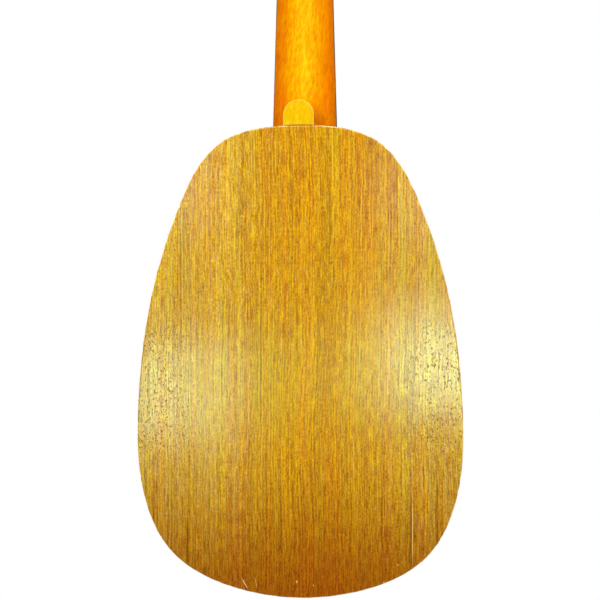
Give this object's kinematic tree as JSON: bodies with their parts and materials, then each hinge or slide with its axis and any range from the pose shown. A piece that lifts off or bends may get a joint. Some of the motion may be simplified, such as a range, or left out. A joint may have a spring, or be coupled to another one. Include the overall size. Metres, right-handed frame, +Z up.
{
  "type": "necked mountain dulcimer",
  "caption": "Fretted dulcimer with a flat-backed pineapple-shaped box, a set neck, diatonic frets, heart sound holes and geared tuners.",
  "frame": {"origin": "on the centre line at the back of the neck, level with the nut, where a wall hanger's fork closes round it", "axes": "+Z up the neck towards the headstock, +Y out of the flat back, -Y out of the strings' side, +X towards the treble strings"},
  "size_m": [0.2074, 0.0709, 0.6448],
  "materials": {
    "amber_plywood": "amber-stained striped mahogany veneer, satin lacquer",
    "amber_neck_wood": "orange-amber stained mahogany, satin lacquer",
    "cap_wood": "pale golden cap, satin lacquer",
    "spruce": "amber-tinted spruce, satin lacquer",
    "inside_wood": "bare, unfinished",
    "rosewood": "oiled dark rosewood",
    "bone": "polished bone",
    "nickel": "nickel plate",
    "brass": "cut brass",
    "string_steel": "plain drawn steel",
    "bronze_winding": "bronze winding over steel",
    "ivory_plastic": "ivory-coloured, polished"
  },
  "bodies": {
    "instrument": {"back_plate": "amber_plywood", "bass_side": "amber_plywood", "treble_side": "amber_plywood", "soundboard": "spruce", "neck_block": "inside_wood", "tail_block": "inside_wood", "bridge_patch": "inside_wood", "back_brace_upper": "inside_wood", "back_brace_lower": "inside_wood", "top_brace_upper": "inside_wood", "top_brace_lower": "inside_wood", "bass_top_lining": "inside_wood", "bass_back_lining": "inside_wood", "treble_top_lining": "inside_wood", "treble_back_lining": "inside_wood", "neck": "amber_neck_wood", "heel_cap": "cap_wood", "fingerboard": "rosewood", "headplate": "rosewood", "bridge": "rosewood", "nut": "bone", "saddle": "bone", "fret_1": "nickel", "fret_2": "nickel", "fret_3": "nickel", "fret_4": "nickel", "fret_5": "nickel", "fret_6": "nickel", "fret_6_half": "nickel", "fret_7": "nickel", "fret_8": "nickel", "fret_9": "nickel", "fret_10": "nickel", "fret_11": "nickel", "bass_string": "bronze_winding", "middle_string": "string_steel", "melody_inner_string": "string_steel", "melody_outer_string": "string_steel", "bass_tuner_plate": "nickel", "treble_tuner_plate": "nickel", "bass_bushing": "nickel", "middle_bushing": "nickel", "melody_inner_bushing": "nickel", "melody_outer_bushing": "nickel"},
    "bass_key": {"bass_worm": "nickel", "bass_knob": "ivory_plastic"},
    "bass_capstan": {"bass_post": "nickel", "bass_gear": "brass"},
    "middle_key": {"middle_worm": "nickel", "middle_knob": "ivory_plastic"},
    "middle_capstan": {"middle_post": "nickel", "middle_gear": "brass"},
    "melody_inner_key": {"melody_inner_worm": "nickel", "melody_inner_knob": "ivory_plastic"},
    "melody_inner_capstan": {"melody_inner_post": "nickel", "melody_inner_gear": "brass"},
    "melody_outer_key": {"melody_outer_worm": "nickel", "melody_outer_knob": "ivory_plastic"},
    "melody_outer_capstan": {"melody_outer_post": "nickel", "melody_outer_gear": "brass"}
  },
  "joints": [
    {"name": "bass_key_turn", "type": "hinge", "parent": "instrument", "child": "bass_key", "pos_m": [-0.017, 0.01123, 0.03002], "axis": [1, 0, 0], "continuous": true},
    {"name": "bass_post_turn", "type": "hinge", "parent": "instrument", "child": "bass_capstan", "pos_m": [-0.017, 0.01288, 0.0378], "axis": [0, 0.9781, -0.2079], "continuous": true},
    {"name": "middle_key_turn", "type": "hinge", "parent": "instrument", "child": "middle_key", "pos_m": [-0.017, 0.02246, 0.08284], "axis": [1, 0, 0], "continuous": true},
    {"name": "middle_post_turn", "type": "hinge", "parent": "instrument", "child": "middle_capstan", "pos_m": [-0.017, 0.02411, 0.09062], "axis": [0, 0.9781, -0.2079], "continuous": true},
    {"name": "melody_inner_key_turn", "type": "hinge", "parent": "instrument", "child": "melody_inner_key", "pos_m": [0.017, 0.02246, 0.08284], "axis": [1, 0, 0], "continuous": true},
    {"name": "melody_inner_post_turn", "type": "hinge", "parent": "instrument", "child": "melody_inner_capstan", "pos_m": [0.017, 0.02411, 0.09062], "axis": [0, 0.9781, -0.2079], "continuous": true},
    {"name": "melody_outer_key_turn", "type": "hinge", "parent": "instrument", "child": "melody_outer_key", "pos_m": [0.017, 0.01123, 0.03002], "axis": [1, 0, 0], "continuous": true},
    {"name": "melody_outer_post_turn", "type": "hinge", "parent": "instrument", "child": "melody_outer_capstan", "pos_m": [0.017, 0.01288, 0.0378], "axis": [0, 0.9781, -0.2079], "continuous": true}
  ],
  "couplings": [
    {"joint": "bass_post_turn", "follows": "bass_key_turn", "ratio": 0.071429},
    {"joint": "middle_post_turn", "follows": "middle_key_turn", "ratio": 0.071429},
    {"joint": "melody_inner_post_turn", "follows": "melody_inner_key_turn", "ratio": 0.071429},
    {"joint": "melody_outer_post_turn", "follows": "melody_outer_key_turn", "ratio": 0.071429}
  ]
}
